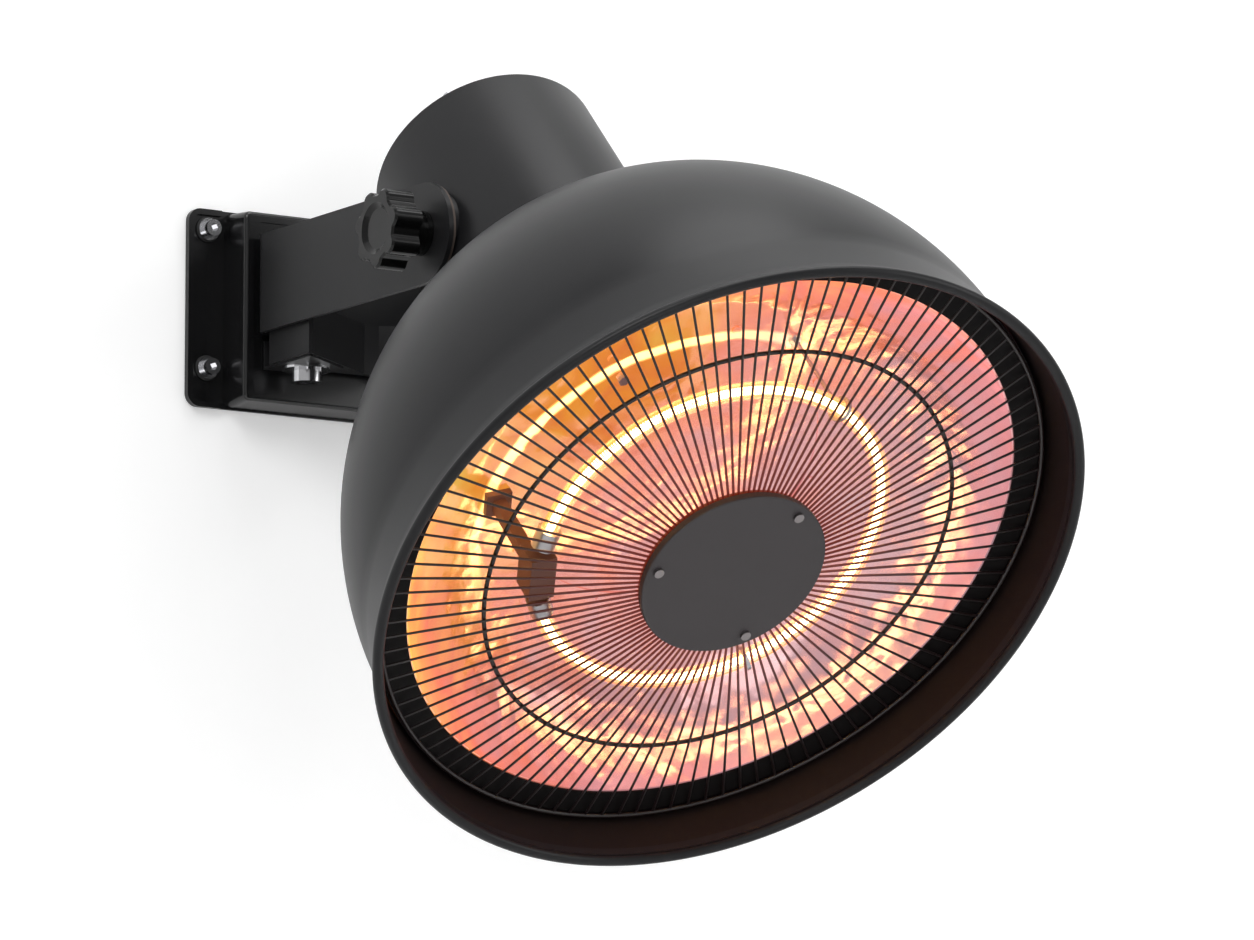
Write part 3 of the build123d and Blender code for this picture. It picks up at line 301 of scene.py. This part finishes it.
def buildBowlMaterial():
    material, tree, shader = newMaterial("hammeredBowl")
    place = placeGroup(tree, headPlaceGroup)
    coords = tree.nodes.new("ShaderNodeTexCoord")
    dimples = tree.nodes.new("ShaderNodeTexVoronoi")
    dimples.feature = "SMOOTH_F1"
    dimples.inputs["Scale"].default_value = bowlFinish["dimpleScale"]
    tree.links.new(coords.outputs["Object"], dimples.inputs["Vector"])
    waves = tree.nodes.new("ShaderNodeTexNoise")
    waves.inputs["Scale"].default_value = bowlFinish["waveScale"]
    waves.inputs["Detail"].default_value = bowlFinish["waveDetail"]
    waves.inputs["Distortion"].default_value = bowlFinish["waveDistortion"]
    tree.links.new(coords.outputs["Object"], waves.inputs["Vector"])
    height = mathNode(tree, "ADD", dimples.outputs["Distance"], waves.outputs["Fac"])
    bump = tree.nodes.new("ShaderNodeBump")
    bump.inputs["Strength"].default_value = bowlFinish["bumpStrength"]
    bump.inputs["Distance"].default_value = bowlFinish["bumpDepth"]
    tree.links.new(height, bump.inputs["Height"])
    tree.links.new(bump.outputs["Normal"], shader.inputs["Normal"])
    # metal colour tinted pink with the lamp's colour: painted lamp light on the aluminium
    shader.inputs["Base Color"].default_value = (*bowlFinish["metal"], 1)
    shader.inputs["Metallic"].default_value = 1
    shader.inputs["Roughness"].default_value = bowlFinish["roughness"]
    # painted glow: emission whose colour ramp and strength stand in for the lamp's light on the bowl,
    # strongest towards the upper left and mottled by the waves
    ramp = tree.nodes.new("ShaderNodeValToRGB")
    paintedGlowTones = bowlFinish["paintedGlowTones"]
    stops = ramp.color_ramp.elements
    stops[0].position, stops[0].color = paintedGlowTones[0][0], (*paintedGlowTones[0][1], 1)
    stops[1].position, stops[1].color = paintedGlowTones[-1][0], (*paintedGlowTones[-1][1], 1)
    for position, color in paintedGlowTones[1:-1]:
        stops.new(position).color = (*color, 1)
    across = mathNode(tree, "MULTIPLY", place.outputs["Across"], bowlFinish["towardsAcross"])
    side = mathNode(tree, "MULTIPLY", place.outputs["Side"], bowlFinish["towardsSide"])
    mottled = mathNode(tree, "MULTIPLY", waves.outputs["Fac"], bowlFinish["mottle"])
    level = mathNode(tree, "ADD", mathNode(tree, "ADD", across, side), mottled)
    tree.links.new(mathNode(tree, "ADD", level, bowlFinish["middle"], True), ramp.inputs["Fac"])
    # painted reflection of the lamp: a ring of stronger emission laid over the painted glow
    mask = buildMirrorMask(tree, place, waves.outputs["Fac"])
    mix = tree.nodes.new("ShaderNodeMix")
    mix.data_type = "RGBA"
    mix.inputs[7].default_value = (*mirrorRing["color"], 1)
    tree.links.new(mask, mix.inputs["Factor"])
    tree.links.new(ramp.outputs["Color"], mix.inputs[6])
    tree.links.new(mix.outputs[2], shader.inputs["Emission Color"])
    power = mathNode(tree, "MULTIPLY", mask, mirrorRing["strength"])
    tree.links.new(mathNode(tree, "ADD", power, bowlFinish["paintedGlow"]), shader.inputs["Emission Strength"])
    return material


# Black wire with a painted dull red glow over the lamp: painted lamp light, strongest near the axis
wireFinish = {"color": (0.006, 0.004, 0.004), "roughness": 0.35, "paintedGlowColor": (0.36, 0.020, 0.004), "paintedGlow": 0.35,
              "paintedGlowRadius": 0.135}


def buildWireMaterial():
    material, tree, shader = newMaterial("wireWithPaintedGlow")
    place = placeGroup(tree, headPlaceGroup)
    surface = placeGroup(tree, paintGroup)
    surface.inputs["Color"].default_value = (*wireFinish["color"], 1)
    surface.inputs["Dust Color"].default_value = (0.02, 0.02, 0.02, 1)
    surface.inputs["Roughness"].default_value = wireFinish["roughness"]
    tree.links.new(surface.outputs["Color"], shader.inputs["Base Color"])
    tree.links.new(surface.outputs["Roughness"], shader.inputs["Roughness"])
    # painted glow: the lamp's light painted onto the wire as red emission, full near the axis and fading
    # out towards the rim
    fade = tree.nodes.new("ShaderNodeMapRange")
    fade.inputs["From Min"].default_value = wireFinish["paintedGlowRadius"]
    fade.inputs["From Max"].default_value = 0.07
    tree.links.new(place.outputs["Radius"], fade.inputs["Value"])
    ramp = tree.nodes.new("ShaderNodeValToRGB")
    ramp.color_ramp.elements[0].color = (0.004, 0, 0, 1)
    ramp.color_ramp.elements[1].color = (*wireFinish["paintedGlowColor"], 1)
    tree.links.new(fade.outputs["Result"], ramp.inputs["Fac"])
    tree.links.new(ramp.outputs["Color"], shader.inputs["Emission Color"])
    shader.inputs["Emission Strength"].default_value = wireFinish["paintedGlow"]
    return material


def buildGlowMaterial(name, color, strength):
    material, tree, shader = newMaterial(name)
    coords = tree.nodes.new("ShaderNodeTexCoord")
    flicker = tree.nodes.new("ShaderNodeTexNoise")
    flicker.inputs["Scale"].default_value = 60
    tree.links.new(coords.outputs["Object"], flicker.inputs["Vector"])
    ramp = tree.nodes.new("ShaderNodeValToRGB")
    ramp.color_ramp.elements[0].color = (color[0], color[1] * 0.85, color[2] * 0.8, 1)
    ramp.color_ramp.elements[1].color = (*color, 1)
    tree.links.new(flicker.outputs["Fac"], ramp.inputs["Fac"])
    tree.links.new(ramp.outputs["Color"], shader.inputs["Emission Color"])
    shader.inputs["Emission Strength"].default_value = strength
    return material


def buildQuartzMaterial():
    material, tree, shader = newMaterial("clearQuartz")
    surface = placeGroup(tree, paintGroup)
    surface.inputs["Color"].default_value = (1, 0.97, 0.93, 1)
    surface.inputs["Dust Color"].default_value = (1, 0.9, 0.8, 1)
    surface.inputs["Roughness"].default_value = 0.06
    tree.links.new(surface.outputs["Color"], shader.inputs["Base Color"])
    shader.inputs["Roughness"].default_value = 0.05
    shader.inputs["Transmission Weight"].default_value = 1
    shader.inputs["IOR"].default_value = 1.46
    shader.inputs["Emission Color"].default_value = (1, 0.28, 0.04, 1)
    shader.inputs["Emission Strength"].default_value = 0.35
    return material


bowlMetal = buildBowlMaterial()
wireWithPaintedGlow = buildWireMaterial()
filamentGlow = buildGlowMaterial("filamentGlow", (1.0, 0.66, 0.27), 9)
quartz = buildQuartzMaterial()
print("stage 2: bowl, wire and lamp materials built")


def dressNodes(names, material):
    # gives CAD nodes their finish in the slots that they have
    for name in names:
        slots = nodes[name].material_slots
        for slot in slots:
            slot.material = material


dressNodes(["wall_plate"], paints["plateEnamel"])
dressNodes(["yoke", "pivot_block", "support_feet", "tilt_bosses"], paints["armPaint"])
dressNodes(["neck_cap", "neck_housing", "shade"], paints["shadePaint"])
dressNodes(["frame_ring"], paints["innerBlack"])
dressNodes(["wall_seals"], paints["sealRubber"])
dressNodes(["wall_washers", "wall_bolts", "block_washers", "block_bolts", "yoke_bolts"],
           paints["chromePlate"])
dressNodes(["disc_screws"], paints["dullScrew"])
dressNodes(["yoke_spacers", "yoke_nuts", "block_nuts", "neck_collar", "collar_screws", "cap_screws",
            "tilt_studs",
            "reflector_nuts", "standoffs", "standoff_nuts", "lamp_caps", "lamp_clips", "disc_nuts"],
           paints["zincPlate"])
dressNodes(["heat_shield"], paints["bareSheet"])
dressNodes(["friction_discs"], paints["fibre"])
dressNodes(["terminal_block"], paints["steatite"])
dressNodes(["lamp_holder"], paints["darkRedSteatite"])
dressNodes(["cable_gland", "gland_nut"], paints["glandNylon"])
dressNodes(["knob_left", "knob_right"], paints["knobGloss"])
dressNodes(["knob_insert_left", "knob_insert_right"], paints["brassTurned"])
dressNodes(["centre_disc"], paints["discPaint"])
# the guard wires take the black wire finish with its painted lamp glow
dressNodes(["grille_wires", "grille_outer_ring", "grille_middle_ring", "grille_hub"], wireWithPaintedGlow)
dressNodes(["reflector", "reflector_floor", "floor_rivets"], bowlMetal)
dressNodes(["lamp_filament"], filamentGlow)
dressNodes(["lamp_tube"], quartz)

# Spun shade: crown, flared skirt and the rolled bead with its groove
shadeSize = {"crownRadius": 201.0, "crownHeight": 208.0, "skirtDepth": 42.0, "sheet": 1.2,
             "beadCentre": 209.3,
             "beadRadius": 3.2, "skirtMidRadius": 204.6, "holeRadius": 60.0}


def skirtRadius(back):
    # the flare as a parabola through its three measured radii
    size = shadeSize
    share = back / size["skirtDepth"]
    sag = (size["beadCentre"] + size["crownRadius"]) / 2 - size["skirtMidRadius"]
    straight = size["beadCentre"] + (size["crownRadius"] - size["beadCentre"]) * share
    return straight - 4 * sag * share * (1 - share)


def shadeProfile():
    size = shadeSize

    def crown(inset, steps):
        radius, height = size["crownRadius"] - inset, size["crownHeight"] - inset
        last = acos(size["holeRadius"] / radius)
        turns = [last * i / steps for i in range(steps + 1)]
        return [(radius * cos(t), size["skirtDepth"] + height * sin(t)) for t in turns]

    outside = crown(0, 40)[::-1] + [(skirtRadius(b), b) for b in (36, 30, 24, 18, 12, 7)]
    bead = arcPoints((size["beadCentre"], 0), size["beadRadius"], 80, -220, 26)
    skirtInside = [(skirtRadius(b) - size["sheet"], b) for b in (7, 12, 18, 24, 30, 36)]
    inside = skirtInside + crown(size["sheet"], 40)
    return outside + bead, inside


shadeOutside, shadeInner = shadeProfile()
shadeShell = spinProfile("shadeShell", shadeOutside + shadeInner, paints["shadePaint"], 288)
shadeShell.data.materials.append(paints["shadeInsidePaintedShadeAndGlow"])
shadeCount = len(shadeOutside) + len(shadeInner)
# the inner faces take the inside finish: painted shade with a faint painted lamp glow
for polygon in shadeShell.data.polygons:
    if len(shadeOutside) <= polygon.index % shadeCount < shadeCount - 1:
        polygon.material_index = 1
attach(shadeShell, "head")
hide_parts("shade")

# Neck tube with its turned-in flange and broken edges
neckSize = {"radius": 69.0, "sheet": 1.2, "topBack": 375.7, "footBack": 238.2, "flangeBore": 60.0,
            "edge": 0.8}


def neckProfile():
    size = neckSize
    bore = size["radius"] - size["sheet"]
    edge = size["edge"]
    corner = arcPoints((size["radius"] - edge, size["topBack"] - edge), edge, 0, 90, 4)
    return ([(size["radius"], size["footBack"])] + corner +
            [(size["flangeBore"] + 0.4, size["topBack"]), (size["flangeBore"], size["topBack"] - 0.4),
             (size["flangeBore"], size["topBack"] - size["sheet"]), (bore, size["topBack"] - size["sheet"]),
             (bore, size["footBack"])])


neckTube = spinProfile("neckTube", neckProfile(), paints["shadePaint"], 144)
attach(neckTube, "head")
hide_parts("neck_housing")

# Reflector bowl, spun fine enough for clean reflections
bowlSize = {"edgeRadius": 181.3, "edgeBack": 28.8, "floorRadius": 114.0, "floorBack": 96.0, "bulge": 9.0,
            "sheet": 0.8, "lip": 13.0, "holeRadius": 92.0}


def circleThrough(first, middle, last, steps):
    # points on the arc through three profile points
    ax, ay = first
    bx, by = middle
    cx, cy = last
    d = 2 * (ax * (by - cy) + bx * (cy - ay) + cx * (ay - by))
    a2, b2, c2 = ax * ax + ay * ay, bx * bx + by * by, cx * cx + cy * cy
    ux = (a2 * (by - cy) + b2 * (cy - ay) + c2 * (ay - by)) / d
    uy = (a2 * (cx - bx) + b2 * (ax - cx) + c2 * (bx - ax)) / d
    centre = Vector((ux, uy))
    start = Vector(first) - centre
    sweep = start.angle_signed(Vector(last) - centre)
    return [tuple(centre + Matrix.Rotation(-sweep * i / steps, 2) @ start) for i in range(steps + 1)]


def bowlProfile():
    size = bowlSize
    edge = (size["edgeRadius"], size["edgeBack"])
    floor = (size["floorRadius"], size["floorBack"])
    middle = ((edge[0] + floor[0]) / 2 + size["bulge"], (edge[1] + floor[1]) / 2 + size["bulge"])
    inside = circleThrough(edge, middle, floor, 36)
    behind = [(r + size["sheet"] * 0.6, b + size["sheet"] * 0.7) for r, b in inside[::-1]]
    hole = size["holeRadius"]
    lip = edge[0] + size["lip"]
    flange = [(hole, size["floorBack"]), (hole, size["floorBack"] + size["sheet"])]
    return [(lip, edge[1])] + inside + flange + behind + [(lip, edge[1] + size["sheet"])]


bowl = spinProfile("reflectorBowl", bowlProfile(), bowlMetal, 288)
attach(bowl, "head")
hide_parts("reflector")

# Guard rings, in the black wire finish with its painted lamp glow
ringSizes = {"outerRing": (198.1, 25.9, 1.3, "grille_outer_ring"),
             "middleRing": (140.2, 19.2, 1.3, "grille_middle_ring")}
for ringName, (ringRadius, ringBack, ringWire, ringNode) in ringSizes.items():
    profile = arcPoints((ringRadius, ringBack), ringWire, 0, 345, 15)
    ring = spinProfile("guard." + ringName, profile, wireWithPaintedGlow, 240)
    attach(ring, "head")
    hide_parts(ringNode)

# Lamp: the filament is a fine coil that runs round inside the quartz
lampSize = {"ringRadius": 103.0, "back": 33.0, "gapDegrees": 34.0, "gapCentre": 200.0, "coilRadius": 2.0,
            "coilPitch": 1.6, "coilWire": 0.42, "pointsPerTurn": 9}


def buildFilament():
    size = lampSize
    sweep = 2 * pi - radians(size["gapDegrees"])
    turnsOfCoil = size["ringRadius"] * sweep / size["coilPitch"]
    count = int(turnsOfCoil * size["pointsPerTurn"])
    curve = bpy.data.curves.new("filamentCoil", "CURVE")
    curve.dimensions = "3D"
    curve.bevel_depth = size["coilWire"] * millimetre
    curve.bevel_resolution = 1
    spline = curve.splines.new("POLY")
    spline.points.add(count - 1)
    for index in range(count):
        share = index / (count - 1)
        turn = radians(size["gapCentre"] + size["gapDegrees"] / 2) + sweep * share
        twist = 2 * pi * turnsOfCoil * share
        point = headPoint(size["ringRadius"] + size["coilRadius"] * cos(twist), turn,
                          size["back"] + size["coilRadius"] * sin(twist))
        spline.points[index].co = (*point, 1)
    curve.materials.append(filamentGlow)
    coil = bpy.data.objects.new("filamentCoil", curve)
    bpy.context.scene.collection.objects.link(coil)
    return coil


filament = buildFilament()
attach(filament, "head")
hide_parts("lamp_filament")
print("stage 3: spun pieces and filament built")

# Studio: a white wall that only its front shows, a pale floor, soft lamps and the camera
studio = {"wallHalf": 3.0, "floorDrop": 1.3, "wallColor": (0.86, 0.86, 0.86), "backdropLift": 0.26,
          "floorColor": (0.82, 0.82, 0.82), "worldLevel": 0.42}


def buildBackdropMaterial(name, color, oneSided):
    material = bpy.data.materials.new(name)
    material.use_nodes = True
    tree = material.node_tree
    tree.nodes.clear()
    output = tree.nodes.new("ShaderNodeOutputMaterial")
    matt = tree.nodes.new("ShaderNodeBsdfDiffuse")
    matt.inputs["Color"].default_value = (*color, 1)
    lift = tree.nodes.new("ShaderNodeEmission")
    path = tree.nodes.new("ShaderNodeLightPath")
    lifted = mathNode(tree, "MULTIPLY", path.outputs["Is Camera Ray"], studio["backdropLift"])
    tree.links.new(lifted, lift.inputs["Strength"])
    both = tree.nodes.new("ShaderNodeAddShader")
    tree.links.new(matt.outputs[0], both.inputs[0])
    tree.links.new(lift.outputs[0], both.inputs[1])
    if not oneSided:
        tree.links.new(both.outputs[0], output.inputs["Surface"])
        return material
    clear = tree.nodes.new("ShaderNodeBsdfTransparent")
    side = tree.nodes.new("ShaderNodeNewGeometry")
    pick = tree.nodes.new("ShaderNodeMixShader")
    tree.links.new(side.outputs["Backfacing"], pick.inputs[0])
    tree.links.new(both.outputs[0], pick.inputs[1])
    tree.links.new(clear.outputs[0], pick.inputs[2])
    tree.links.new(pick.outputs[0], output.inputs["Surface"])
    return material


def addStagePlane(name, corners, material):
    piece = addPiece(name, corners, [(0, 1, 2, 3)], material, False)
    return piece


half = studio["wallHalf"]
drop = -studio["floorDrop"]
wallMaterial = buildBackdropMaterial("wallWhite", studio["wallColor"], True)
floorMaterial = buildBackdropMaterial("floorPale", studio["floorColor"], False)
addStagePlane("studioWall", [(-half, 0.0015, drop), (half, 0.0015, drop), (half, 0.0015, half),
                             (-half, 0.0015, half)],
              wallMaterial)
addStagePlane("studioFloor", [(-half, -2 * half, drop), (half, -2 * half, drop), (half, half, drop),
                              (-half, half, drop)],
              floorMaterial)

lampsSetup = {
    "keyLeft": {"at": (-2.4, -2.6, 2.2), "size": 1.8, "power": 60},
    "topSoft": {"at": (0.3, -0.9, 2.6), "size": 2.0, "power": 45},
    "fillRight": {"at": (2.6, -2.6, 0.6), "size": 2.0, "power": 26},
    "lowFront": {"at": (-0.8, -3.2, -0.9), "size": 1.6, "power": 14},
}
aimPoint = Vector((0, -0.3, -0.12))
for lampName, lampData in lampsSetup.items():
    light = bpy.data.lights.new(lampName, "AREA")
    light.size = lampData["size"]
    light.energy = lampData["power"]
    holder = bpy.data.objects.new(lampName, light)
    holder.location = lampData["at"]
    holder.rotation_euler = (aimPoint - Vector(lampData["at"])).to_track_quat("-Z", "Y").to_euler()
    bpy.context.scene.collection.objects.link(holder)


def buildWorld():
    world = bpy.data.worlds.new("studioWorld")
    bpy.context.scene.world = world
    world.use_nodes = True
    tree = world.node_tree
    background = tree.nodes["Background"]
    background.inputs["Color"].default_value = (1, 1, 1, 1)
    path = tree.nodes.new("ShaderNodeLightPath")
    seen = mathNode(tree, "ADD", path.outputs["Is Camera Ray"], path.outputs["Is Transmission Ray"], True)
    span = mathNode(tree, "MULTIPLY", seen, 1 - studio["worldLevel"])
    tree.links.new(mathNode(tree, "ADD", span, studio["worldLevel"]), background.inputs["Strength"])


buildWorld()

cameraSetup = {"at": (-2.20406, -3.72147, -0.78245), "right": (0.8394, -0.5434, -0.0011),
               "up": (-0.0844, -0.1324, 0.9876), "back": (-0.5369, -0.8289, -0.1570), "lens": 208.63,
               "sensor": 36.0}


def buildCamera():
    data = bpy.data.cameras.new("photoCamera")
    data.sensor_fit = "HORIZONTAL"
    data.sensor_width = cameraSetup["sensor"]
    data.lens = cameraSetup["lens"]
    data.clip_start = 0.05
    data.clip_end = 30
    camera = bpy.data.objects.new("photoCamera", data)
    axes = Matrix((cameraSetup["right"], cameraSetup["up"], cameraSetup["back"])).transposed()
    camera.matrix_world = Matrix.Translation(cameraSetup["at"]) @ axes.to_quaternion().to_matrix().to_4x4()
    bpy.context.scene.collection.objects.link(camera)
    bpy.context.scene.camera = camera


buildCamera()
bpy.context.scene.view_settings.view_transform = "Standard"
print("stage 4: studio, lamps and camera built")
